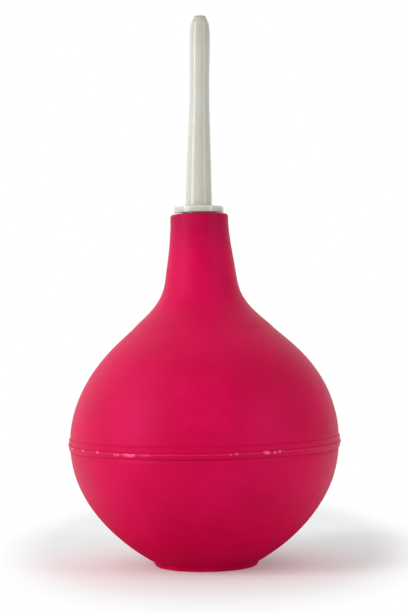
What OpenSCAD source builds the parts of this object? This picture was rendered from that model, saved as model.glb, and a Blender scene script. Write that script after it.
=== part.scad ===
// Rubber bulb syringe. A pear-shaped rubber bulb stands on a round foot, and a hard
// nozzle is pushed into its neck. Every piece is turned about the upright axis, and
// heights are counted from the table.

/* [Ball] */
// Greatest outside radius of the ball, beside the seam strip
ball_r = 45; // [42:0.5:50]
// Height of the middle of the seam strip
seam_h = 41; // [38:0.5:44]
// Thickness of the rubber round the ball
wall = 2.6; // [2:0.1:3.6]

/* [Shoulder] */
// Outside radius at the place where the shoulder runs straight
shoulder_r = 23.6; // [22:0.2:26]
// Height of that place
shoulder_h = 79.6; // [77:0.2:82]
// Slope of the shoulder there, in degrees from level
shoulder_slope = 46.5; // [42:0.5:50]
// Thickness of the rubber at the shoulder
shoulder_wall = 3.2; // [2.4:0.1:4.2]

/* [Neck] */
// Outside radius at the root of the neck
neck_root_r = 12.1; // [11:0.1:14]
// Height of the root of the neck
neck_root_h = 95.5; // [92:0.5:98]
// How far the neck leans in at its root, in degrees from upright
neck_lean = 8; // [4:1:14]
// Outside radius under the rim
neck_top_r = 9.6; // [9.2:0.1:11]
// Length of the neck from its root to the top of the rim
neck_l = 22.65; // [20:0.05:28]
// Rounding of the rim's outer edge
rim_round = 1.2; // [0.6:0.1:1.6]
// Radius of the bore that grips the plug
bore_r = 5.6; // [5:0.1:6.2]
// Chamfer at the mouth of the bore
mouth_chamfer = 0.6; // [0.3:0.1:1]

/* [Seam strip] */
// Height of the raised strip where the two shells are joined
seam_w = 4.2; // [3:0.2:6]
// How far the strip stands out of the ball
seam_proud = 0.35; // [0.2:0.05:0.8]
// How far the moulding flash stands out of the strip
flash_proud = 0.35; // [0.1:0.05:0.8]
// Height of the moulding flash
flash_w = 0.8; // [0.4:0.1:1.4]

/* [Foot] */
// Outside radius of the foot ring
foot_r = 17.4; // [15:0.2:20]
// Width of the foot ring
foot_w = 5.8; // [4:0.2:8]
// Rounding of the foot ring's edges
foot_round = 0.9; // [0.4:0.1:1.2]
// How far the bowl starts outside the foot ring
crease_out = 1; // [0.5:0.1:2]
// Height of the crease between the foot ring and the bowl
crease_h = 1.5; // [1.3:0.1:2]
// Slope of the bowl where it leaves the foot, in degrees from level
bowl_rise = 30.5; // [26:0.5:36]
// Depth of the hollow under the floor, inside the foot ring
hollow_h = 1.2; // [0.9:0.1:1.6]
// Thickness of the floor
floor_wall = 3; // [2.2:0.1:3.4]
// Height where the base ends and the lower shell begins
base_h = 5.2; // [5:0.1:7]

/* [Nozzle] */
// Length from the flange's seat to the tip
nozzle_l = 66.05; // [58:0.05:78]
// Radius of the straight land at the tip's thickest place
tip_r = 3.4; // [3:0.05:3.8]
// Length of that land
land_l = 5.2; // [4:0.1:7]
// Length of the rounded tip above the land
tip_l = 8; // [6:0.1:10]
// Radius of the waist below the land
waist_r = 3.3; // [2.9:0.05:3.6]
// Distance from the land down to the waist
waist_drop = 8; // [5:0.5:12]
// Radius of the nozzle above its flange
root_r = 4.42; // [3.9:0.02:5]
// Radius of the fillet above the flange
root_fillet = 1; // [0.5:0.1:1.5]
// Radius of the canal
canal_r = 1.3; // [1:0.05:1.6]
// Rounding of the canal's mouth in the tip
canal_round = 0.3; // [0.1:0.05:0.5]

/* [Flange] */
// Radius of the flange
flange_r = 8.3; // [7.4:0.1:9]
// Thickness of the flange
flange_t = 2; // [1.6:0.1:3]
// Rounding of the flange's edges
flange_round = 0.6; // [0.3:0.1:0.8]

/* [Plug] */
// Length of the plug under the flange
plug_l = 19; // [17:0.5:20]
// Gap between the plug's barbs and the bore
plug_gap = 0.05; // [0.02:0.01:0.1]
// Length of the plain collar under the flange
collar_l = 3; // [2:0.2:4]
// Number of barbs
barbs = 3; // [2:1:4]
// Distance from one barb to the next
barb_pitch = 4; // [3.6:0.2:4.2]
// Depth of the groove between two barbs
barb_depth = 0.7; // [0.4:0.1:1]
// Width of a barb's crest
barb_land = 0.8; // [0.5:0.1:1.2]
// Radius of the canal's wide mouth at the plug's end
plug_mouth_r = 2.4; // [1.8:0.1:3]

/* [Hidden] */

// Facets of a full turn, and steps of a curve in an outline
turn_steps = 120;
curve_steps = 14;
round_steps = 6;

// How far each curve keeps to its start and to its end, as shares of its chord
bowl_reach = [0.25, 0.4];
ball_reach = [0.53, 0.12];
shoulder_reach = [0.28, 0.43];
neck_reach = [0.4, 0.4];
tip_reach = [0.11, 0.6];
waist_reach = [0.3, 0.3];
taper_reach = [0.3, 0.5];

// Headings are in degrees, counted from straight outwards towards straight up
out = 0;
up = 90;
down = -90;
shoulder_heading = 180 - shoulder_slope;
neck_heading = up + neck_lean;
taper_heading = down + 1.25;

// Heights and radii that follow from the sizes above
floor_h = hollow_h + floor_wall;
rim_h = neck_root_h + neck_l;
seam_low = seam_h - seam_w / 2;
seam_high = seam_h + seam_w / 2;
tip_h = rim_h + nozzle_l;
land_high = tip_h - tip_l;
land_low = land_high - land_l;
waist_h = land_low - waist_drop;
flange_h = rim_h + flange_t;
plug_r = bore_r - plug_gap;
groove_r = plug_r - barb_depth;
plug_low = rim_h - plug_l;
plug_mouth_l = plug_mouth_r - canal_r;

// The points of the bulb that its curves run through
crease = [foot_r + crease_out, crease_h];
equator = [ball_r, seam_h];
shoulder = [shoulder_r, shoulder_h];
neck_root = [neck_root_r, neck_root_h];
neck_top = [neck_top_r, rim_h - rim_round];
inner_bowl = crease + wall * inward(bowl_rise);
inner_floor = [inner_bowl.x + (floor_h - inner_bowl.y) / tan(bowl_rise), floor_h];
inner_equator = [ball_r - wall, seam_h];
inner_shoulder = shoulder + shoulder_wall * inward(shoulder_heading);
bore_root = [bore_r, neck_root_h];

function heading(a) = [cos(a), sin(a)];

// To the left of a heading, which is the inside of the rubber on the way up
function inward(a) = [-sin(a), cos(a)];

function reversed(list) = [for (i = [len(list) - 1 : -1 : 0]) list[i]];

// A smooth curve from p at heading a to q at heading b, without its last point
function bow(p, a, q, b, reach, steps = curve_steps) =
    let (chord = norm(q - p))
    let (u = p + reach[0] * chord * heading(a))
    let (v = q - reach[1] * chord * heading(b))
    [for (i = [0 : steps - 1]) let (t = i / steps, s = 1 - t)
        s * s * s * p + 3 * s * s * t * u + 3 * s * t * t * v + t * t * t * q];

// A round corner about centre c, with both of its ends
function corner(c, r, from, to) =
    [for (i = [0 : round_steps]) c + r * heading(from + (to - from) * i / round_steps)];

module turned() {
    rotate_extrude($fn = turn_steps)
        children();
}

// The foot ring from the hollow under the floor round to the crease
function foot_outline() = concat(
    [[0, hollow_h], [foot_r - foot_w, hollow_h]],
    corner([foot_r - foot_w + foot_round, foot_round], foot_round, 180, 270),
    corner([foot_r - foot_round, foot_round], foot_round, 270, 360)
);

// The outside of the rubber from the crease up to the rim
function outer_outline() = concat(
    bow(crease, bowl_rise, equator, up, bowl_reach),
    bow(equator, up, shoulder, shoulder_heading, ball_reach),
    bow(shoulder, shoulder_heading, neck_root, neck_heading, shoulder_reach),
    bow(neck_root, neck_heading, neck_top, up, neck_reach)
);

// The rim from its outer edge over the crown into the bore
function rim_outline() = concat(
    corner(neck_top - [rim_round, 0], rim_round, 0, 90),
    [[bore_r + mouth_chamfer, rim_h], [bore_r, rim_h - mouth_chamfer]]
);

// The inside of the rubber from the floor up to the root of the bore
function inner_outline() = concat(
    [[0, floor_h]],
    bow(inner_floor, bowl_rise, inner_equator, up, bowl_reach),
    bow(inner_equator, up, inner_shoulder, shoulder_heading, ball_reach),
    bow(inner_shoulder, shoulder_heading, bore_root, up, shoulder_reach),
    [bore_root]
);

// The cut face of the rubber between two heights
module rubber(low, high) {
    reach = 2 * ball_r;
    intersection() {
        polygon(concat(foot_outline(), outer_outline(), rim_outline(), reversed(inner_outline())));
        translate([0, low])
            square([reach, high - low]);
    }
}

// The raised strip with the moulding flash along its middle
module strip() {
    seat_r = ball_r - wall / 2;
    strip_r = ball_r + seam_proud;
    flash_r = strip_r + flash_proud;
    polygon([
        [seat_r, seam_low],
        [ball_r, seam_low],
        [strip_r, seam_low + seam_proud],
        [strip_r, seam_h - flash_w / 2],
        [flash_r, seam_h],
        [strip_r, seam_h + flash_w / 2],
        [strip_r, seam_high - seam_proud],
        [ball_r, seam_high],
        [seat_r, seam_high]
    ]);
}

// Thick floor with the foot ring that the bulb stands on
module base() {
    color([0.72, 0.03, 0.24])
        turned()
            rubber(0, base_h);
}

// Bowl of the ball, from the base up to the seam
module lower_shell() {
    color([0.8, 0.05, 0.29])
        turned()
            rubber(base_h, seam_low);
}

// Vulcanised joint between the two shells
module seam_band() {
    color([0.7, 0.03, 0.24])
        turned() {
            rubber(seam_low, seam_high);
            strip();
        }
}

// Upper half of the ball with the shoulder, up to the root of the neck
module upper_shell() {
    color([0.86, 0.07, 0.33])
        turned()
            rubber(seam_high, neck_root_h);
}

// Thick sleeve that grips the plug, with the rounded rim
module neck() {
    color([0.82, 0.05, 0.3])
        turned()
            rubber(neck_root_h, rim_h);
}

// One barb of the plug, which has its crest at the top and tapers to its groove
function barb(top) = [
    [groove_r, top],
    [plug_r, top],
    [plug_r, top - barb_land],
    [groove_r, top - barb_pitch + barb_land]
];

// The plug from the flange's seat down to its open end
function plug_outline() = concat(
    [[plug_r, rim_h], [plug_r, rim_h - collar_l]],
    [for (i = [0 : barbs - 1]) each barb(rim_h - collar_l - barb_land - i * barb_pitch)],
    [[groove_r, plug_low], [plug_mouth_r, plug_low], [canal_r, plug_low + plug_mouth_l]]
);

// The nozzle from its mouth down the outside to the edge of the flange
function nozzle_outline() = concat(
    reversed(corner([canal_r + canal_round, tip_h - canal_round], canal_round, 90, 180)),
    bow([canal_r + canal_round, tip_h], out, [tip_r, land_high], down, tip_reach),
    [[tip_r, land_high]],
    bow([tip_r, land_low], down, [waist_r, waist_h], down, waist_reach, round_steps),
    bow([waist_r, waist_h], down, [root_r, flange_h + root_fillet], taper_heading, taper_reach),
    corner([root_r + root_fillet, flange_h + root_fillet], root_fillet, 180, 270),
    reversed(corner([flange_r - flange_round, flange_h - flange_round], flange_round, 0, 90)),
    reversed(corner([flange_r - flange_round, rim_h + flange_round], flange_round, 270, 360))
);

// Hard nozzle with its flange, barbed plug and straight canal
module nozzle() {
    color([0.83, 0.83, 0.78])
        turned()
            polygon(concat(nozzle_outline(), plug_outline()));
}

base();
lower_shell();
seam_band();
upper_shell();
neck();
nozzle();
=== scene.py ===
"""A rubber bulb with a hard nozzle, standing on a white stage.

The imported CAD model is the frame. Over it the rubber is made again as an upper and a lower
half with a slightly uneven skin, a seam strip with a bead and a flat band, and the torn
moulding flash on the bead. The nozzle is one turned piece of plastic with its flange and
barbed plug.
"""

import math
import random

import bmesh
import bpy
from bpy.props import FloatProperty, FloatVectorProperty, IntProperty, PointerProperty
from bpy.types import Operator, Panel, PropertyGroup
from mathutils import Matrix, Vector, noise
from mathutils.geometry import interpolate_bezier


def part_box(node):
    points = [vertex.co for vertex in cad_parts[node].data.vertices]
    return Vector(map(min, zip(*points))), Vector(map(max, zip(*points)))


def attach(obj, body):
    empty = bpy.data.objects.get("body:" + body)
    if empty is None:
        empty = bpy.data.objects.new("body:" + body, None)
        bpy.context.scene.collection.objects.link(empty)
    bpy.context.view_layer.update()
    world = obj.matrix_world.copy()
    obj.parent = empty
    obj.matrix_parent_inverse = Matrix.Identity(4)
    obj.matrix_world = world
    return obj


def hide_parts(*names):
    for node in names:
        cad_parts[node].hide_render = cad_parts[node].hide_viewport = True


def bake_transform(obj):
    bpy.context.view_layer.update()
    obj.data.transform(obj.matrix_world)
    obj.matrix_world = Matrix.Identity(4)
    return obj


bl_info = {
    "name": "Rubber bulb with nozzle",
    "version": (1, 0, 0),
    "blender": (4, 5, 0),
    "location": "View3D > Sidebar > Bulb",
    "description": "Makes the rubber bulb, its seam, its nozzle and the white stage",
    "category": "Add Mesh",
}

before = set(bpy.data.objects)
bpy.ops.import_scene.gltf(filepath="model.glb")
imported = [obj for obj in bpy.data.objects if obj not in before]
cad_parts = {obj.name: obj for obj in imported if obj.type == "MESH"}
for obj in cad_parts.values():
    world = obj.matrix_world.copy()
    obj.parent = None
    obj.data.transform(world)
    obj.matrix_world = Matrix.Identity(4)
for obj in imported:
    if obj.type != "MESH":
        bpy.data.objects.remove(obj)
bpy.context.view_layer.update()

SEAM_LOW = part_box("seam_band")[0].z
SEAM_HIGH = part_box("seam_band")[1].z
SEAM_MIDDLE = (SEAM_LOW + SEAM_HIGH) / 2
NECK_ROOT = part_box("neck")[0].z
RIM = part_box("neck")[1].z
PLUG_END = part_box("nozzle")[0].z
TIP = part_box("nozzle")[1].z

UP = math.radians(90)
DOWN = math.radians(-90)
OUT = 0.0
MERGE = 1e-7
CURVE_STEPS = 30
CORNER_STEPS = 5

# The waves to a metre of the uneven skin's two patterns, and where each pattern starts
SWELLS = 38
SWELL_START = Vector((3.1, 7.7, 1.3))
RIPPLES = 160
RIPPLE_START = Vector((5.9, 2.2, 8.4))

# The heights between which the bowl moves in over the foot
BOWL_START = 0.008
BOWL_END = 0.02

# The heights at which the bulb begins to lean to the right, leans most and is back
LEAN_START = 0.041
LEAN_PEAK = 0.067
LEAN_END = 0.099

# The radii between which the rubber stops following the plug, and the heights between which
# it starts to
BORE_RADII = (0.006, 0.0085)
BORE_HEIGHTS = (0.08, 0.092)

# How far from its middle the seam's tilt and dip begin to fade and are gone, the share of the
# dip that its lower edge has, and how far under its upper edge the dip is whole
SEAM_FADE = (0.0025, 0.014)
LOW_DIP = 0.4
DIP_MARGIN = 0.0015

# How far under the rim its tilt begins
RIM_TILTED = 0.008

# How far from the strip each half starts to sink, and how deep it sinks beside the strip
UPPER_NICK = (0.0003, 0.00004)
LOWER_NICK = (0.0004, 0.00022)

# The radii between which the ledge at the tip grows to its full depth, and the share of the
# fillet over the flange that is rounded, so that it ends before the next corner
LEDGE_RADII = (0.0018, 0.0024)
FILLET_SHARE = 0.98

# The heights between which the painted rim highlight along the foot's lower edge ends, the
# rubber gets its shine, and the rubber darkens towards the rim
FOOT_EDGE_HIGHLIGHT_END = (0.0004, 0.0016)
SHINE_RISES = (0.008, 0.036)
RIM_DARKENING_RISES = (RIM - 0.018, RIM - 0.001)

# The steps in which the nozzle greys towards its mouth: their heights and their shares
GREYING = (
    (TIP - 0.014, TIP - 0.004, 0.25),
    (TIP - 0.0022, TIP - 0.0019, 0.2),
    (TIP - 0.001, TIP - 0.0003, 0.55),
)

# How far each curve keeps to its start and to its end, as shares of its chord
BOWL_REACH = (0.27, 0.4)
BALL_REACH = (0.53, 0.12)
SHOULDER_REACH = (0.28, 0.43)
NECK_REACH = (0.33, 0.35)
TIP_REACH = (0.14, 0.58)
WAIST_REACH = (0.3, 0.3)
TAPER_REACH = (0.3, 0.5)

# The seam strip in section, from its lower to its upper edge: height as a share of half the
# strip, and how far it stands out as a share of the lower bead
STRIP_SECTION = (
    (-1.0, -0.5),
    (-0.98, 0.3),
    (-0.9, 0.5),
    (-0.6, 0.72),
    (-0.3, 0.92),
    (-0.16, 1.0),
    (-0.1, 0.9),
    (-0.07, 0.5),
    (-0.03, 0.6),
    (0.1, 0.62),
    (0.4, 0.62),
    (0.58, 0.7),
    (0.7, 0.74),
    (0.77, 0.5),
    (0.83, -0.2),
    (0.9, -0.25),
    (1.0, -0.1),
)

# The flash in section, in shares of its own size: outwards and upwards
FLASH_SECTION = (
    (-1.0, -1.0),
    (0.45, -0.85),
    (1.0, -0.35),
    (0.95, 0.3),
    (0.5, 0.8),
    (-1.0, 1.0),
)

# Where the flash was torn or cut and stands out: angle to the right of the front, half of
# its reach, both in degrees, how much of it is left, and how far it hangs down in metres
TORN_PLACES = (
    (-88.0, 5.0, 0.85, -0.0003),
    (-59.2, 1.6, 0.7, 0.0),
    (-48.4, 0.9, 0.95, 0.0),
    (-37.4, 2.2, 0.75, 0.0002),
    (-31.6, 4.2, 1.0, 0.0003),
    (-24.0, 4.0, 0.6, 0.0002),
    (-14.0, 3.0, 0.5, 0.0),
    (-0.2, 1.5, 0.55, 0.0),
    (7.8, 0.9, 0.55, 0.0),
    (10.3, 0.8, 0.65, 0.0),
    (12.6, 1.0, 0.7, 0.0),
    (19.2, 1.8, 0.55, 0.0),
    (25.2, 2.0, 1.0, 0.0),
    (28.8, 0.8, 0.9, 0.0),
    (31.0, 1.0, 0.85, 0.0),
    (33.4, 0.8, 0.6, 0.0),
    (87.0, 5.0, 1.0, -0.0002),
)

# The torn places at the back, in degrees: where they start and end, and their reach and gaps
BACK_START = 100.0
BACK_END = 290.0
BACK_REACH = (1.2, 6.0)
BACK_GAP = (6.0, 26.0)

# Where the flash sits, as a share of the lower bead, the share of it that is left where it was
# trimmed, and how much more is left in places
FLASH_SEAT = 0.92
TRIMMED_LEFT = 0.34
TRIMMED_MORE = 0.3

# The shares of its reach between which a torn place fades, and how much the flash is ragged
# outwards, as a share, and wavers up and down, in metres
TORN_FADE = (0.35, 1.3)
RAGGED = 0.55
WAVER = 0.00016

# How far flash that is trimmed away sinks in, and its height, as shares of its own size
TRIMMED_SINK = 0.3
TRIMMED_HEIGHT = 0.1

# The mesh attribute that tells the flash's material where it was torn, to be glossy and have a
# painted highlight, and how much of the flash is left where that look starts and where it is full
TORN = "torn"
TORN_LEFT = (0.5, 0.8)

# Half of the floor's width, how far it lies under the foot, its colour in bounced light and
# its colour as it is seen
FLOOR_REACH = 3.0
FLOOR_DROP = 0.00002
FLOOR_BOUNCED = (0.78, 0.78, 0.78, 1)
FLOOR_SEEN = (0.97, 1, 1, 1)

# The oval in which the floor shows, centred behind the bulb, and the shares of its radius
# between which the floor fades to plain white. FADE_FIRST is how white it is in the middle
FADE_ASIDE = 0.003
FADE_CENTRE = 0.061
FADE_SIDE = 0.07
FADE_DEPTH = 0.149
FADE = (0.8, 1.17)
FADE_FIRST = 0.12

# The room's dim side: its angle to the right of the camera, how dim reflections show it, and
# the cosines between which it dims, for its light and for reflections
DIM_TURN = math.radians(35)
DIM_MIRRORED = 0.92
DIM_LIGHT = (-0.45, 0.7)
DIM_REFLECTED = (-0.4, 0.2)

# Each lamp's width and height, and its angles in degrees to the right of the camera and up.
# Both lamps face the same place from the same distance
KEY_LAMP = (0.34, 0.9, -61, 15)
FILL_LAMP = (0.2, 0.8, 56, 10)
LAMP_DISTANCE = 0.95
LAMP_AIM = Vector((0, 0, 0.08))


def length(name, description, default):
    """A property that holds a length in metres."""
    return FloatProperty(name=name, description=description, default=default, min=0.0,
                         precision=5, unit="LENGTH", subtype="DISTANCE")


def shift(name, description, default):
    """A property that holds a distance to either side, in metres."""
    return FloatProperty(name=name, description=description, default=default,
                         precision=5, unit="LENGTH", subtype="DISTANCE")


def angle(name, description, degrees):
    """A property that holds an angle."""
    return FloatProperty(name=name, description=description, default=math.radians(degrees),
                         unit="ROTATION", subtype="ANGLE")


def share(name, description, default):
    """A property that holds a number from 0 to 1."""
    return FloatProperty(name=name, description=description, default=default,
                         min=0.0, max=1.0, subtype="FACTOR")


def colour(name, description, default):
    """A property that holds a colour."""
    return FloatVectorProperty(name=name, description=description, default=default,
                               size=3, min=0.0, max=1.0, subtype="COLOR")


class BulbSizes(PropertyGroup):
    """Sizes of the rubber."""

    ball_r: length("Ball radius", "Outside radius of the ball beside the seam", 0.045)
    wall: length("Wall", "Thickness of the rubber round the ball", 0.0026)
    shoulder_r: length("Shoulder radius", "Radius where the shoulder runs straight", 0.0234)
    shoulder_h: length("Shoulder height", "Height of that place", 0.0796)
    shoulder_slope: angle("Shoulder slope", "Slope of the shoulder there", 46.5)
    shoulder_wall: length("Shoulder wall", "Thickness of the rubber there", 0.0032)
    neck_root_r: length("Neck root radius", "Outside radius at the root of the neck", 0.0121)
    neck_lean: angle("Neck lean", "How far the neck leans in at its root", 8)
    neck_top_r: length("Neck top radius", "Outside radius under the rim", 0.0097)
    rim_round: length("Rim rounding", "Rounding of the rim's outer edge", 0.0008)
    rim_drop: length("Rim drop", "How far the rim's outer edge lies below the flange", 0.00045)
    bore_r: length("Bore radius", "Radius of the bore that grips the plug", 0.0056)
    bore_round: length("Bore rounding", "Rounding at the mouth of the bore", 0.0006)
    foot_r: length("Foot radius", "Outside radius of the foot ring", 0.01735)
    foot_w: length("Foot width", "Width of the foot ring", 0.0058)
    foot_round: length("Foot rounding", "Rounding of the foot ring's edges", 0.0009)
    crease_out: length("Crease step", "How far the bowl starts outside the foot", 0.0006)
    crease_h: length("Crease height", "Height of the crease over the foot ring", 0.0017)
    bowl_rise: angle("Bowl rise", "Slope of the bowl where it leaves the foot", 29.2)
    hollow_h: length("Hollow", "Depth of the hollow under the floor", 0.0012)
    floor_wall: length("Floor", "Thickness of the floor", 0.003)
    foot_shift: shift("Foot shift", "How far the foot sits to the right", 0.00045)
    ball_shift: shift("Ball shift", "How far the ball sits to the right", 0.00034)
    shoulder_shift: shift("Shoulder shift", "How far the shoulder sits to the right", 0.00076)
    neck_shift: shift("Neck shift", "How far the root of the neck sits to the right", -0.00008)
    rim_shift: shift("Rim shift", "How far the rim sits to the right", -0.00044)
    plug_shift: shift("Plug shift", "How far the bore and the plug sit to the right", -0.00054)
    seam_tilt: angle("Seam tilt", "How far the seam is higher on its right side", 0.28)
    seam_dip: angle("Seam dip", "How far the seam is lower in front", 0.95)
    rim_tilt: angle("Rim tilt", "How far the rim is lower on its left side", 0.9)
    swell: length("Swell", "How far the skin is uneven over the width of a finger", 0.00008)
    ripple: length("Ripple", "How far the skin is uneven over a few millimetres", 0.00003)
    turn_steps: IntProperty(name="Steps", description="Facets of a full turn", default=192, min=12)


class SeamSizes(PropertyGroup):
    """Sizes of the strip round the ball and of the flash on it."""

    proud: length("Bead", "How far the lower bead stands out of the ball", 0.0005)
    flash_drop: length("Flash drop", "How far the flash lies below the middle", 0.0006)
    flash_h: length("Flash height", "Half of the height of the flash where it is whole", 0.00058)
    flash_proud: length("Flash", "How far whole flash stands out of the lower bead", 0.0002)
    flash_steps: IntProperty(name="Steps", description="Facets of the flash", default=1440, min=12)
    seed: IntProperty(name="Seed", description="Changes the torn places at the back", default=7)


class NozzleSizes(PropertyGroup):
    """Sizes of the hard nozzle."""

    tip_r: length("Tip radius", "Radius at the tip's thickest place", 0.0034)
    land_l: length("Land", "Length of that place", 0.0052)
    tip_l: length("Tip", "Length of the rounded tip above it", 0.008)
    waist_r: length("Waist radius", "Radius of the waist below the tip", 0.0033)
    waist_drop: length("Waist drop", "Distance from the tip's land down to the waist", 0.008)
    root_r: length("Root radius", "Radius above the flange", 0.00442)
    root_fillet: length("Fillet", "Radius of the fillet above the flange", 0.001)
    taper: angle("Taper", "Slope of the side where it meets the fillet", 1.25)
    canal_r: length("Canal radius", "Radius of the canal", 0.0013)
    canal_round: length("Mouth rounding", "Rounding of the canal's mouth", 0.0003)
    ledge_drop: length("Ledge drop", "Distance from the tip down to its moulded ledge", 0.00205)
    ledge: length("Ledge", "How far the ledge stands in", 0.0002)
    flange_r: length("Flange radius", "Radius of the flange", 0.0083)
    flange_t: length("Flange", "Thickness of the flange", 0.002)
    flange_round: length("Flange rounding", "Rounding of the flange's upper edge", 0.00025)
    flange_under: length("Flange underside", "Rounding of the flange's lower edge", 0.0006)
    plug_r: length("Plug radius", "Radius of the plug's barbs", 0.00555)
    collar_l: length("Collar", "Length of the plain collar under the flange", 0.003)
    barbs: IntProperty(name="Barbs", description="Number of barbs", default=3, min=1)
    barb_pitch: length("Barb pitch", "Distance from one barb to the next", 0.004)
    barb_depth: length("Barb depth", "Depth of the groove between two barbs", 0.0007)
    barb_land: length("Barb land", "Width of a barb's crest", 0.0008)
    plug_mouth_r: length("Plug mouth", "Radius of the canal's mouth in the plug", 0.0024)
    lean: angle("Lean", "How far the pipe leans to the right over its flange", 1.1)
    turn_steps: IntProperty(name="Steps", description="Facets of a full turn", default=144, min=12)


class Looks(PropertyGroup):
    """Colours of the rubber and of the plastic."""

    rubber: colour("Rubber", "Plain rubber", (0.61, 0.0006, 0.06))
    rubber_deep: colour("Deep rubber", "Rubber where the colour runs deeper", (0.56, 0.0004, 0.05))
    # The bloom colour also paints the rim highlight along the foot's lower edge
    bloom: colour("Bloom", "Powder that has risen to the rubber's skin", (0.7, 0.009, 0.11))
    # The colour that the rubber darkens to towards the rim
    rim_darkening: colour("Rubber near the rim", "Rubber darker towards the rim", (0.42, 0.0008, 0.04))
    # The light pink colour of the painted highlight on the torn flash
    torn: colour("Torn rubber", "Painted highlight on the torn flash", (0.9, 0.09, 0.21))
    plastic: colour("Plastic", "The nozzle", (0.57, 0.58, 0.53))
    # The colour that the nozzle darkens to towards its tip
    plastic_tip_dark: colour("Darker plastic", "The nozzle round the canal's mouth", (0.36, 0.36, 0.31))
    plastic_warm: colour("Warm plastic", "The nozzle where it has yellowed", (0.58, 0.56, 0.49))


class StageSizes(PropertyGroup):
    """Camera and lamps."""

    distance: length("Distance", "From the camera to the axis of the bulb", 0.56)
    eye_h: length("Eye height", "Height of the camera", 0.0815)
    eye_shift: shift("Eye shift", "How far the camera is to the right", 0.0007)
    roll: angle("Roll", "How far the camera is turned clockwise", 0.77)
    lens: FloatProperty(name="Lens", description="Focal length in millimetres", default=98.1)
    shift_up: FloatProperty(name="Shift", description="Upward shift of the view", default=0.0261)
    sky: share("Sky", "Light from all sides", 0.73)
    dim: share("Dim side", "How much less light comes from the front at the right", 0.25)
    key: FloatProperty(name="Key lamp", description="Power of the lamp at the left", default=6.3)
    fill: FloatProperty(name="Fill lamp", description="Power of the lamp at the right", default=2.5)


def heading(turn):
    """A step of length 1 in the section, counted from straight outwards to straight up."""
    return Vector((math.cos(turn), 0, math.sin(turn)))


def inward(turn):
    """The step to the left of a heading, which is into the rubber on the way up."""
    return heading(turn + UP)


def bow(start, leaving, end, arriving, reach, steps=CURVE_STEPS):
    """Points of a smooth curve from start to end, without the last one."""
    chord = (end - start).length
    handle = start + heading(leaving) * chord * reach[0]
    far_handle = end - heading(arriving) * chord * reach[1]
    return interpolate_bezier(start, handle, far_handle, end, steps + 1)[:-1]


def smooth_step(value, low, high):
    """0 up to low, 1 from high on, and smooth between them."""
    part = min(1.0, max(0.0, (value - low) / (high - low)))
    return part * part * (3 - 2 * part)


def radius_at(outline, height):
    """Radius of an outline at the height where it passes."""
    for low, high in zip(outline, outline[1:]):
        if low.z <= height <= high.z:
            return low.x + (high.x - low.x) * (height - low.z) / (high.z - low.z)
    raise RuntimeError(f"the outline doesn't reach a height of {height}")


class Section:
    """Half of a turned piece in section, drawn as a chain of edges right of the axis."""

    def __init__(self):
        self.bm = bmesh.new()
        self.last = None

    def line(self, points):
        """Draws on to each point in turn and returns their vertices."""
        drawn = []
        for point in points:
            vert = self.bm.verts.new(point)
            if self.last:
                self.bm.edges.new((self.last, vert))
            self.last = vert
            drawn.append(vert)
        return drawn

    def close(self):
        """Joins the two ends of the chain."""
        ends = [vert for vert in self.bm.verts if len(vert.link_edges) == 1]
        self.bm.edges.new(ends)

    def round_off(self, vert, radius):
        """Rounds a corner, with radius the distance over which it is cut."""
        bmesh.ops.bevel(self.bm, geom=[vert], offset=radius, offset_type="OFFSET",
                        segments=CORNER_STEPS, profile=0.5, affect="VERTICES", material=-1,
                        clamp_overlap=True)

    def cut(self, height, keep_above):
        """Cuts the section at a height and closes the cut."""
        bmesh.ops.bisect_plane(self.bm, geom=self.bm.verts[:] + self.bm.edges[:], dist=MERGE,
                               plane_co=(0, 0, height), plane_no=(0, 0, 1),
                               clear_inner=keep_above, clear_outer=not keep_above)
        ends = [vert for vert in self.bm.verts
                if len(vert.link_edges) == 1 and abs(vert.co.z - height) < MERGE]
        self.bm.edges.new(ends)

    def nick(self, height, cut_height, depth):
        """Sinks the outer edge of a cut, starting from a height beside it."""
        bmesh.ops.bisect_plane(self.bm, geom=self.bm.verts[:] + self.bm.edges[:], dist=MERGE,
                               plane_co=(0, 0, height), plane_no=(0, 0, 1))
        edge = max((vert for vert in self.bm.verts if abs(vert.co.z - cut_height) < MERGE),
                   key=lambda vert: vert.co.x)
        edge.co.x -= depth

    def turned(self, steps):
        """Spins the section a full turn and returns the closed mesh."""
        bm = self.bm
        bmesh.ops.spin(bm, geom=bm.verts[:] + bm.edges[:], cent=(0, 0, 0), axis=(0, 0, 1),
                       dvec=(0, 0, 0), angle=math.tau, steps=steps, use_merge=True)
        bmesh.ops.remove_doubles(bm, verts=bm.verts, dist=MERGE)
        bmesh.ops.recalc_face_normals(bm, faces=bm.faces)
        return bm


def add_piece(bm, name, material, nodes, sharp_degrees=40):
    """Links a closed mesh as an object that stands for its CAD nodes."""
    open_edges = sum(not edge.is_manifold for edge in bm.edges)
    if open_edges:
        raise RuntimeError(f"{name} has {open_edges} open edges")
    for face in bm.faces:
        face.smooth = True
    for edge in bm.edges:
        edge.smooth = edge.calc_face_angle() < math.radians(sharp_degrees)
    mesh = bpy.data.meshes.new(name)
    bm.to_mesh(mesh)
    bm.free()
    mesh.materials.append(material)
    piece = bpy.data.objects.new(name, mesh)
    bpy.context.scene.collection.objects.link(piece)
    if nodes:
        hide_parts(*nodes)
    return piece


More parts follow.
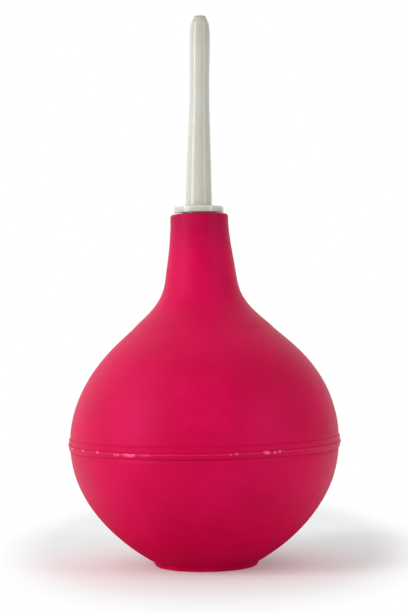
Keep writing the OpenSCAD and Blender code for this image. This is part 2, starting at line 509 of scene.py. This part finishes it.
def sit(place, sizes):
    """Where a point of the turned rubber lies on the real bulb, which is a little uneven."""
    around = Vector((place.x, place.y, 0))
    size = min(1.0, around.length / sizes.ball_r)
    swell = noise.noise(place * SWELLS + SWELL_START) * sizes.swell
    ripple = noise.noise(place * RIPPLES + RIPPLE_START) * sizes.ripple
    moved = place + around.normalized() * (swell + ripple) * size
    aside = sizes.foot_shift
    for low, high, change in (
        (BOWL_START, BOWL_END, sizes.ball_shift - sizes.foot_shift),
        (LEAN_START, LEAN_PEAK, sizes.shoulder_shift - sizes.ball_shift),
        (LEAN_PEAK, LEAN_END, sizes.neck_shift - sizes.shoulder_shift),
        (LEAN_END, RIM, sizes.rim_shift - sizes.neck_shift),
    ):
        aside += change * smooth_step(place.z, low, high)
    in_bore = (1 - smooth_step(around.length, *BORE_RADII)) * smooth_step(place.z, *BORE_HEIGHTS)
    moved.x += aside + (sizes.plug_shift - aside) * in_bore
    seam = 1 - smooth_step(abs(place.z - SEAM_MIDDLE), *SEAM_FADE)
    upper = smooth_step(place.z, SEAM_LOW, SEAM_HIGH - DIP_MARGIN)
    dip = seam * (LOW_DIP + (1 - LOW_DIP) * upper)
    rim = smooth_step(place.z, RIM - RIM_TILTED, RIM)
    moved.z += (math.tan(sizes.seam_tilt) * place.x * seam
                + math.tan(sizes.seam_dip) * (place.y + sizes.ball_r) * dip
                + math.tan(sizes.rim_tilt) * (place.x - sizes.neck_top_r) * rim)
    return moved


def settle(bm, sizes):
    """Moves every point of a turned mesh of rubber to where it lies on the real bulb."""
    for vert in bm.verts:
        vert.co = sit(vert.co, sizes)
    bm.normal_update()


def key_points(sizes):
    """The points of the rubber that its outer and inner curves run through."""
    lean = UP + sizes.neck_lean
    fall = math.pi - sizes.shoulder_slope
    crease = Vector((sizes.foot_r + sizes.crease_out, 0, sizes.crease_h))
    equator = Vector((sizes.ball_r, 0, SEAM_MIDDLE))
    shoulder = Vector((sizes.shoulder_r, 0, sizes.shoulder_h))
    neck_root = Vector((sizes.neck_root_r, 0, NECK_ROOT))
    neck_top = Vector((sizes.neck_top_r, 0, RIM - sizes.rim_drop - sizes.rim_round))
    floor_h = sizes.hollow_h + sizes.floor_wall
    inner_bowl = crease + inward(sizes.bowl_rise) * sizes.wall
    run = (floor_h - inner_bowl.z) / math.tan(sizes.bowl_rise)
    inner_floor = Vector((inner_bowl.x + run, 0, floor_h))
    inner_equator = Vector((sizes.ball_r - sizes.wall, 0, SEAM_MIDDLE))
    inner_shoulder = shoulder + inward(fall) * sizes.shoulder_wall
    bore_root = Vector((sizes.bore_r, 0, NECK_ROOT))
    outer = (
        bow(crease, sizes.bowl_rise, equator, UP, BOWL_REACH)
        + bow(equator, UP, shoulder, fall, BALL_REACH)
        + bow(shoulder, fall, neck_root, lean, SHOULDER_REACH)
        + bow(neck_root, lean, neck_top, UP, NECK_REACH)
    )
    inner = (
        bow(inner_floor, sizes.bowl_rise, inner_equator, UP, BOWL_REACH)
        + bow(inner_equator, UP, inner_shoulder, fall, BALL_REACH)
        + bow(inner_shoulder, fall, bore_root, UP, SHOULDER_REACH)
        + [bore_root]
    )
    return outer, inner


def rubber_section(sizes):
    """The whole rubber in section, from the middle of the foot round to the inside floor."""
    outer, inner = key_points(sizes)
    foot_in = sizes.foot_r - sizes.foot_w
    section = Section()
    section.line([Vector((0, 0, sizes.hollow_h)), Vector((foot_in, 0, sizes.hollow_h))])
    corners = section.line([Vector((foot_in, 0, 0)), Vector((sizes.foot_r, 0, 0))])
    section.line([Vector((sizes.foot_r, 0, sizes.foot_round))])
    section.line(outer)
    rim = section.line([Vector((sizes.neck_top_r, 0, RIM - sizes.rim_drop)),
                        Vector((sizes.bore_r, 0, RIM))])
    section.line(reversed(inner))
    section.line([Vector((0, 0, sizes.hollow_h + sizes.floor_wall))])
    for corner in corners:
        section.round_off(corner, sizes.foot_round)
    section.round_off(rim[0], sizes.rim_round)
    section.round_off(rim[1], sizes.bore_round)
    return section


class Shade:
    """A value that varies over a surface. Sums written with it add their Math nodes."""

    def __init__(self, finish, socket):
        self.finish = finish
        self.socket = socket

    def __add__(self, other):
        return self.finish.maths("ADD", self, other)

    def __radd__(self, other):
        return self.finish.maths("ADD", other, self)

    def __sub__(self, other):
        return self.finish.maths("SUBTRACT", self, other)

    def __rsub__(self, other):
        return self.finish.maths("SUBTRACT", other, self)

    def __mul__(self, other):
        return self.finish.maths("MULTIPLY", self, other)

    def __rmul__(self, other):
        return self.finish.maths("MULTIPLY", other, self)

    def __pow__(self, other):
        return self.finish.maths("POWER", self, other)


class Finish:
    """The node tree of a material or of the world, while it is being put together."""

    def __init__(self, owner):
        owner.use_nodes = True
        self.tree = owner.node_tree
        self.tree.nodes.clear()

    def node(self, kind, settings=None, sockets=None):
        """Adds a node, sets its settings, then gives each socket named its value or link."""
        made = self.tree.nodes.new(kind)
        for name, value in (settings or {}).items():
            setattr(made, name, value)
        for name, value in (sockets or {}).items():
            if isinstance(value, Shade):
                self.tree.links.new(value.socket, made.inputs[name])
            else:
                made.inputs[name].default_value = value
        return made

    def shade(self, node, output):
        """An output of a node as a value for sums."""
        return Shade(self, node.outputs[output])

    def maths(self, operation, *values):
        """A sum of one or two values."""
        node = self.node("ShaderNodeMath", {"operation": operation}, dict(enumerate(values)))
        return self.shade(node, "Value")

    def place(self):
        """The place on the object, in metres."""
        return self.shade(self.node("ShaderNodeTexCoord"), "Object")

    def parts(self, place):
        """The three coordinates of a place."""
        node = self.node("ShaderNodeSeparateXYZ", sockets={"Vector": place})
        return [self.shade(node, axis) for axis in "XYZ"]

    def stretched(self, place, scale):
        """A place scaled along each axis, which stretches the pattern that reads it."""
        node = self.node("ShaderNodeMapping", sockets={"Vector": place, "Scale": scale})
        return self.shade(node, "Vector")

    def cloud(self, place, size, detail=2.0, rough=0.5):
        """Soft noise from 0 to 1, with size the width of one patch in metres."""
        node = self.node("ShaderNodeTexNoise", {"normalize": True}, {
            "Vector": place, "Scale": 1 / size, "Detail": detail, "Roughness": rough})
        return self.shade(node, "Fac")

    def rise(self, value, low, high):
        """0 up to low, 1 from high on, and smooth between them."""
        node = self.node("ShaderNodeMapRange", {"interpolation_type": "SMOOTHSTEP"}, {
            "Value": value, "From Min": low, "From Max": high})
        return self.shade(node, "Result")

    def blend(self, factor, first, second):
        """A colour between two colours."""
        node = self.node("ShaderNodeMix", {"data_type": "RGBA"})
        for socket, value in zip((node.inputs[0], node.inputs[6], node.inputs[7]),
                                 (factor, first, second)):
            if isinstance(value, Shade):
                self.tree.links.new(value.socket, socket)
            else:
                socket.default_value = value
        return Shade(self, node.outputs[2])

    def bumps(self, height, distance, strength):
        """The normal of a surface that a height roughens."""
        node = self.node("ShaderNodeBump", sockets={
            "Height": height, "Distance": distance, "Strength": strength})
        return self.shade(node, "Normal")

    def surface(self, sockets, dull=None):
        """Ends the tree in a Principled shader, which has no shine where dull is 1."""
        end = self.shade(self.node("ShaderNodeBsdfPrincipled", sockets=sockets), "BSDF")
        if dull is not None:
            plain = self.node("ShaderNodeBsdfPrincipled",
                              sockets={**sockets, "Specular IOR Level": 0.0})
            mixed = self.node("ShaderNodeMixShader", sockets={
                0: dull, 1: end, 2: self.shade(plain, "BSDF")})
            end = self.shade(mixed, "Shader")
        self.node("ShaderNodeOutputMaterial", sockets={"Surface": end})


def solid(rgb):
    """A colour with its alpha."""
    return (*rgb, 1.0)


def matte_rubber(looks):
    """Rubber with a powdery skin: soft patches of colour, bloom, fine grain and a dull foot, a
    painted rim highlight along the foot's lower edge, and colour darkening towards the rim.
    """
    material = bpy.data.materials.get("matte_rubber")
    if material:
        return material
    material = bpy.data.materials.new("matte_rubber")
    finish = Finish(material)
    place = finish.place()
    patches = finish.cloud(place, 0.018, detail=3.0)
    powder = finish.cloud(place, 0.0042, detail=4.0, rough=0.62)
    grain = finish.cloud(place, 0.00055, detail=2.0)
    bloom = finish.rise(0.55 * powder + 0.45 * patches, 0.46, 0.68)
    height = finish.parts(place)[2]
    # Painted rim highlight: lighter patches along the foot's lower edge
    foot_edge_highlight = (1 - finish.rise(height, *FOOT_EDGE_HIGHLIGHT_END)) * finish.rise(powder, 0.4, 0.6)
    base = finish.blend(finish.rise(patches, 0.35, 0.65), solid(looks.rubber_deep),
                        solid(looks.rubber))
    # The rubber's colour darkens towards the rim
    rim_darkening = finish.rise(height, *RIM_DARKENING_RISES)
    darkened = finish.blend(0.85 * rim_darkening, base, solid(looks.rim_darkening))
    # Real bloom in random patches, plus the painted rim highlight along the foot's lower edge
    bloom_and_edge_highlight = finish.blend(0.15 * bloom + 0.6 * foot_edge_highlight, darkened, solid(looks.bloom))
    dull = 0.85 * (1 - finish.rise(height, *SHINE_RISES))
    finish.surface({
        "Base Color": bloom_and_edge_highlight,
        "Roughness": 0.46 + 0.1 * bloom + 0.06 * grain,
        "Specular IOR Level": 0.24,
        "Specular Tint": (1.0, 0.25, 0.8, 1.0),
        "Normal": finish.bumps(0.7 * grain + 0.3 * powder, 0.00006, 0.35),
    }, dull)
    return material


def torn_rubber(looks):
    """The flash: plain where trimmed, glossy facets with a painted light pink highlight where torn.
    """
    material = bpy.data.materials.new("torn_rubber")
    finish = Finish(material)
    place = finish.place()
    facets = finish.cloud(place, 0.0011, detail=2.0)
    pull = finish.cloud(finish.stretched(place, (1.0, 1.0, 6.0)), 0.0016, detail=3.0)
    torn = finish.shade(finish.node("ShaderNodeAttribute", {"attribute_name": TORN}), "Fac")
    # Painted highlight: torn facets are coloured light pink
    painted_glint = torn * finish.rise(facets, 0.3, 0.6)
    finish.surface({
        "Base Color": finish.blend(painted_glint, solid(looks.rubber), solid(looks.torn)),
        "Roughness": 0.55 - torn * (0.4 - 0.2 * facets),
        "Specular IOR Level": 0.4,
        "Specular Tint": (1.0, 0.7, 0.8, 1.0),
        "Normal": finish.bumps(0.6 * facets + 0.4 * pull, 0.00012, 0.4),
    })
    return material


def moulded_plastic(looks):
    """Slightly see-through plastic with flow lines, faint yellowing and a greyer mouth."""
    material = bpy.data.materials.new("moulded_plastic")
    finish = Finish(material)
    place = finish.place()
    flow = finish.cloud(finish.stretched(place, (1.0, 1.0, 0.12)), 0.0022, detail=2.0)
    haze = finish.cloud(place, 0.012, detail=2.0)
    scratch = finish.cloud(finish.stretched(place, (1.0, 1.0, 0.2)), 0.0004, detail=2.0)
    tone = finish.rise(0.5 * flow + 0.5 * haze, 0.4, 0.62)
    height = finish.parts(place)[2]
    mouth = sum(part * finish.rise(height, low, high) for low, high, part in GREYING)
    base = finish.blend(tone, solid(looks.plastic), solid(looks.plastic_warm))
    finish.surface({
        # The nozzle's colour darkens in steps towards its tip
        "Base Color": finish.blend(mouth, base, solid(looks.plastic_tip_dark)),
        "Roughness": 0.1 + 0.06 * haze + 0.04 * scratch,
        "Specular IOR Level": 0.42,
        "Subsurface Weight": 0.7,
        "Subsurface Radius": (1.0, 0.95, 0.7),
        "Subsurface Scale": 0.005,
        "Normal": finish.bumps(flow, 0.00005, 0.25),
    })
    return material


class UpperBulb(Operator):
    """Makes the upper half of the ball with the shoulder, the neck and its bore"""

    bl_idname = "bulb.upper"
    bl_label = "Upper half and neck"

    def execute(self, context):
        sizes = context.scene.bulb_sizes
        section = rubber_section(sizes)
        section.cut(SEAM_HIGH, keep_above=True)
        reach, depth = UPPER_NICK
        section.nick(SEAM_HIGH + reach, SEAM_HIGH, depth)
        bm = section.turned(sizes.turn_steps)
        settle(bm, sizes)
        piece = add_piece(bm, "bulb_top", matte_rubber(context.scene.looks),
                          ("upper_shell", "neck"))
        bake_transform(piece)
        return {"FINISHED"}


class LowerBulb(Operator):
    """Makes the bowl of the ball with the foot ring and the hollow under it"""

    bl_idname = "bulb.lower"
    bl_label = "Bowl and foot"

    def execute(self, context):
        sizes = context.scene.bulb_sizes
        section = rubber_section(sizes)
        section.cut(SEAM_LOW, keep_above=False)
        reach, depth = LOWER_NICK
        section.nick(SEAM_LOW - reach, SEAM_LOW, depth)
        bm = section.turned(sizes.turn_steps)
        settle(bm, sizes)
        piece = add_piece(bm, "bulb_bottom", matte_rubber(context.scene.looks),
                          ("lower_shell", "base"))
        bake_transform(piece)
        return {"FINISHED"}


class Seam(Operator):
    """Makes the strip that joins the two halves, and the torn flash on it"""

    bl_idname = "bulb.seam"
    bl_label = "Seam strip and flash"

    def strip(self, sizes, seam, looks):
        """The strip through the whole wall, with its bead and its band on the outside."""
        outer, inner = key_points(sizes)
        half = (SEAM_HIGH - SEAM_LOW) / 2
        section = Section()
        for part, proud in STRIP_SECTION:
            height = SEAM_MIDDLE + part * half
            radius = radius_at(outer, height) + proud * seam.proud
            section.line([Vector((radius, 0, height))])
        for height in (SEAM_HIGH, SEAM_MIDDLE, SEAM_LOW):
            section.line([Vector((radius_at(inner, height), 0, height))])
        section.close()
        bm = section.turned(sizes.turn_steps * 2)
        settle(bm, sizes)
        piece = add_piece(bm, "seam_strip", matte_rubber(looks), ("seam_band",))
        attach(piece, "bulb")

    def torn_places(self, seam):
        """Every torn place, with random ones from the right side round the back."""
        dice = random.Random(seam.seed)
        places = list(TORN_PLACES)
        turn = BACK_START
        while turn < BACK_END:
            reach = dice.uniform(*BACK_REACH)
            places.append((turn, reach, dice.uniform(0.4, 1.0), dice.uniform(0.0, 0.0003)))
            turn += reach + dice.uniform(*BACK_GAP)
        return places

    def left_at(self, turn, places):
        """How much of the flash is left at an angle, and how far it hangs down there."""
        patches = max(0.0, noise.noise(Vector((turn * 0.12, 4.2, 0))))
        left = TRIMMED_LEFT + TRIMMED_MORE * patches
        hang = 0.0
        for centre, reach, whole, drop in places:
            away = abs((turn - centre + 180) % 360 - 180)
            near = 1 - smooth_step(away, TORN_FADE[0] * reach, TORN_FADE[1] * reach)
            left = max(left, whole * near)
            hang += drop * near
        return left, hang

    def flash(self, sizes, seam, looks):
        """The moulding flash, a thin uneven ridge that stands out where it was torn."""
        core = sizes.ball_r + FLASH_SEAT * seam.proud
        height = SEAM_MIDDLE - seam.flash_drop
        section = Section()
        section.line(Vector((core + out * seam.flash_proud, 0, height + up * seam.flash_h))
                     for out, up in FLASH_SECTION)
        section.close()
        bm = section.turned(seam.flash_steps)
        torn = bm.verts.layers.float.new(TORN)
        places = self.torn_places(seam)
        for vert in bm.verts:
            turn = math.degrees(math.atan2(vert.co.x, -vert.co.y))
            left, hang = self.left_at(turn, places)
            ragged = 1 + RAGGED * noise.noise(Vector((turn * 1.1, vert.co.z * 900, 1.7)))
            waver = WAVER * noise.noise(Vector((turn * 0.45, 9.3, 0)))
            around = Vector((vert.co.x, vert.co.y, 0))
            out = (around.length - core) * min(1.0, left * ragged)
            if around.length < core:
                out = around.length - core - seam.flash_proud
            sunk = (1 - left) * TRIMMED_SINK * seam.flash_proud
            spot = around.normalized() * (core + out - sunk)
            tall = TRIMMED_HEIGHT + (1 - TRIMMED_HEIGHT) * left
            spot.z = height + waver - hang + (vert.co.z - height) * tall
            vert[torn] = smooth_step(left, *TORN_LEFT)
            vert.co = sit(spot, sizes)
        bm.normal_update()
        piece = add_piece(bm, "moulding_flash", torn_rubber(looks), (), 30)
        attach(piece, "bulb")

    def execute(self, context):
        scene = context.scene
        self.strip(scene.bulb_sizes, scene.seam_sizes, scene.looks)
        self.flash(scene.bulb_sizes, scene.seam_sizes, scene.looks)
        return {"FINISHED"}


class Nozzle(Operator):
    """Makes the nozzle with its canal, its flange and the barbed plug in the neck"""

    bl_idname = "bulb.nozzle"
    bl_label = "Nozzle"

    def pipe(self, section, sizes):
        """Draws the outside from the canal's mouth down to the flange's seat."""
        flange_h = RIM + sizes.flange_t
        land_high = TIP - sizes.tip_l
        land_low = land_high - sizes.land_l
        mouth = Vector((sizes.canal_r, 0, TIP))
        brow = Vector((sizes.canal_r + sizes.canal_round, 0, TIP))
        land = Vector((sizes.tip_r, 0, land_high))
        waist = Vector((sizes.waist_r, 0, land_low - sizes.waist_drop))
        root = Vector((sizes.root_r, 0, flange_h + sizes.root_fillet))
        ledge = TIP - sizes.ledge_drop
        section.line([mouth])
        for point in bow(brow, OUT, land, DOWN, TIP_REACH):
            if point.z > ledge:
                point.x -= sizes.ledge * smooth_step(point.x, *LEDGE_RADII)
            section.line([point])
        section.line([land])
        section.line(bow(Vector((sizes.tip_r, 0, land_low)), DOWN, waist, DOWN, WAIST_REACH))
        section.line(bow(waist, DOWN, root, DOWN + sizes.taper, TAPER_REACH))
        foot = section.line([root + heading(DOWN + sizes.taper) * sizes.root_fillet])[0]
        foot.co.z = flange_h
        edges = section.line([Vector((sizes.flange_r, 0, flange_h)),
                              Vector((sizes.flange_r, 0, RIM))])
        section.round_off(foot, sizes.root_fillet * FILLET_SHARE)
        section.round_off(edges[0], sizes.flange_round)
        section.round_off(edges[1], sizes.flange_under)

    def plug(self, section, sizes):
        """Draws the barbed plug and the canal's wide mouth at its end."""
        groove_r = sizes.plug_r - sizes.barb_depth
        barb_top = RIM - sizes.collar_l
        section.line([Vector((sizes.plug_r, 0, RIM)), Vector((sizes.plug_r, 0, barb_top))])
        top = barb_top - sizes.barb_land
        for _ in range(sizes.barbs):
            section.line([
                Vector((groove_r, 0, top)),
                Vector((sizes.plug_r, 0, top)),
                Vector((sizes.plug_r, 0, top - sizes.barb_land)),
                Vector((groove_r, 0, top - sizes.barb_pitch + sizes.barb_land)),
            ])
            top -= sizes.barb_pitch
        step = sizes.plug_mouth_r - sizes.canal_r
        section.line([
            Vector((groove_r, 0, PLUG_END)),
            Vector((sizes.plug_mouth_r, 0, PLUG_END)),
            Vector((sizes.canal_r, 0, PLUG_END + step)),
        ])

    def execute(self, context):
        sizes = context.scene.nozzle_sizes
        section = Section()
        self.pipe(section, sizes)
        self.plug(section, sizes)
        section.close()
        bm = section.turned(sizes.turn_steps)
        flange_h = RIM + sizes.flange_t
        slant = math.tan(sizes.lean)
        leaned = Matrix(((1, 0, slant, -slant * flange_h), (0, 1, 0, 0), (0, 0, 1, 0),
                         (0, 0, 0, 1)))
        bmesh.ops.transform(bm, matrix=leaned,
                            verts=[vert for vert in bm.verts if vert.co.z > flange_h])
        bmesh.ops.translate(bm, vec=(context.scene.bulb_sizes.plug_shift, 0, 0), verts=bm.verts)
        piece = add_piece(bm, "nozzle_pipe", moulded_plastic(context.scene.looks),
                          ("nozzle",), 50)
        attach(piece, "nozzle")
        return {"FINISHED"}


class Stage(Operator):
    """Makes the white floor, the world, the lamps and the camera"""

    bl_idname = "bulb.stage"
    bl_label = "Stage"

    def seen(self, finish):
        """1 for what the camera sees, also by a reflection or through something, else 0."""
        paths = finish.node("ShaderNodeLightPath")
        rays = ("Is Camera Ray", "Is Glossy Ray", "Is Transmission Ray")
        camera, glossy, through = (finish.shade(paths, ray) for ray in rays)
        return finish.maths("MINIMUM", camera + glossy + through, 1.0)

    def floor(self):
        """A floor that keeps the bulb's shadow and fades to plain white round it."""
        bm = bmesh.new()
        bmesh.ops.create_grid(bm, x_segments=1, y_segments=1, size=FLOOR_REACH)
        bmesh.ops.translate(bm, vec=(0, 0, -FLOOR_DROP), verts=bm.verts)
        mesh = bpy.data.meshes.new("floor")
        bm.to_mesh(mesh)
        bm.free()
        floor = bpy.data.objects.new("floor", mesh)
        bpy.context.scene.collection.objects.link(floor)
        material = bpy.data.materials.new("white_floor")
        mesh.materials.append(material)
        finish = Finish(material)
        across, back, _ = finish.parts(finish.place())
        side = (across - FADE_ASIDE) * (1 / FADE_SIDE)
        depth = (back - FADE_CENTRE) * (1 / FADE_DEPTH)
        fade = finish.rise((side ** 2 + depth ** 2) ** 0.5, *FADE)
        fade = (FADE_FIRST + (1 - FADE_FIRST) * fade) * self.seen(finish)
        bare = finish.blend(self.seen(finish), FLOOR_BOUNCED, FLOOR_SEEN)
        lit = finish.node("ShaderNodeBsdfDiffuse", sockets={"Color": bare})
        white = finish.node("ShaderNodeEmission", sockets={"Color": (1, 1, 1, 1)})
        mixed = finish.node("ShaderNodeMixShader", sockets={
            0: fade, 1: finish.shade(lit, "BSDF"), 2: finish.shade(white, "Emission")})
        finish.node("ShaderNodeOutputMaterial", sockets={
            "Surface": finish.shade(mixed, "Shader")})

    def world(self, stage):
        """A white room that is dimmer in front at the right. The camera sees plain white."""
        world = bpy.data.worlds.new("white_room")
        bpy.context.scene.world = world
        finish = Finish(world)
        paths = finish.node("ShaderNodeLightPath")
        camera = finish.shade(paths, "Is Camera Ray")
        mirrored = finish.shade(paths, "Is Glossy Ray") + finish.shade(paths, "Is Transmission Ray")
        direction = finish.shade(finish.node("ShaderNodeTexCoord"), "Generated")
        towards = finish.node("ShaderNodeVectorMath", {"operation": "DOT_PRODUCT"}, {
            0: direction, 1: (math.sin(DIM_TURN), -math.cos(DIM_TURN), 0.0)})
        towards = finish.shade(towards, "Value")
        dim = finish.rise(towards, *DIM_LIGHT)
        plain = stage.sky * (1 - stage.dim * dim)
        white = 1 - DIM_MIRRORED * finish.rise(towards, *DIM_REFLECTED)
        strength = plain + mirrored * (white - plain)
        strength = strength + camera * (1 - strength)
        glow = finish.node("ShaderNodeBackground", sockets={
            "Color": (1, 1, 1, 1), "Strength": strength})
        finish.node("ShaderNodeOutputWorld", sockets={
            "Surface": finish.shade(glow, "Background")})

    def lamp(self, name, power, wide, high, turn, rise):
        """A flat lamp that faces the bulb from an angle to the right of the camera."""
        light = bpy.data.lights.new(name, "AREA")
        light.shape = "RECTANGLE"
        light.size = wide
        light.size_y = high
        light.energy = power
        turn, rise = math.radians(turn), math.radians(rise)
        back = Vector((math.sin(turn) * math.cos(rise), -math.cos(turn) * math.cos(rise),
                       math.sin(rise)))
        lamp = bpy.data.objects.new(name, light)
        lamp.location = LAMP_AIM + back * LAMP_DISTANCE
        lamp.rotation_euler = (-back).to_track_quat("-Z", "Y").to_euler()
        bpy.context.scene.collection.objects.link(lamp)

    def camera(self, stage):
        """The camera at the photo's angle."""
        lens = bpy.data.cameras.new("camera")
        lens.sensor_width = 36
        lens.lens = stage.lens
        lens.shift_y = stage.shift_up
        lens.clip_start = 0.01
        camera = bpy.data.objects.new("camera", lens)
        level = Matrix.Rotation(UP, 4, "X") @ Matrix.Rotation(-stage.roll, 4, "Z")
        camera.matrix_world = Matrix.Translation((stage.eye_shift, -stage.distance,
                                                  stage.eye_h)) @ level
        bpy.context.scene.collection.objects.link(camera)
        bpy.context.scene.camera = camera

    def execute(self, context):
        stage = context.scene.stage_sizes
        context.scene.view_settings.view_transform = "Standard"
        self.floor()
        self.world(stage)
        self.lamp("key_lamp", stage.key, *KEY_LAMP)
        self.lamp("fill_lamp", stage.fill, *FILL_LAMP)
        self.camera(stage)
        return {"FINISHED"}


class BulbPanel(Panel):
    """Lists the pieces and their sizes in the sidebar"""

    bl_idname = "VIEW3D_PT_rubber_bulb"
    bl_label = "Rubber bulb"
    bl_space_type = "VIEW_3D"
    bl_region_type = "UI"
    bl_category = "Bulb"

    def draw(self, context):
        for operator in OPERATORS:
            self.layout.operator(operator.bl_idname)
        for name in SETTINGS:
            group = getattr(context.scene, name)
            box = self.layout.box()
            for prop in group.bl_rna.properties:
                if not prop.is_readonly and prop.identifier != "name":
                    box.prop(group, prop.identifier)


SETTINGS = {
    "bulb_sizes": BulbSizes,
    "seam_sizes": SeamSizes,
    "nozzle_sizes": NozzleSizes,
    "looks": Looks,
    "stage_sizes": StageSizes,
}
OPERATORS = (UpperBulb, LowerBulb, Seam, Nozzle, Stage)


def register():
    for group in SETTINGS.values():
        bpy.utils.register_class(group)
    for operator in OPERATORS:
        bpy.utils.register_class(operator)
    bpy.utils.register_class(BulbPanel)
    for name, group in SETTINGS.items():
        setattr(bpy.types.Scene, name, PointerProperty(type=group))


def unregister():
    for name in SETTINGS:
        delattr(bpy.types.Scene, name)
    for member in (BulbPanel, *reversed(OPERATORS), *reversed(SETTINGS.values())):
        bpy.utils.unregister_class(member)


def main():
    register()
    bpy.ops.bulb.upper()
    bpy.ops.bulb.lower()
    bpy.ops.bulb.seam()
    bpy.ops.bulb.nozzle()
    bpy.ops.bulb.stage()


if __name__ == "__main__":
    main()
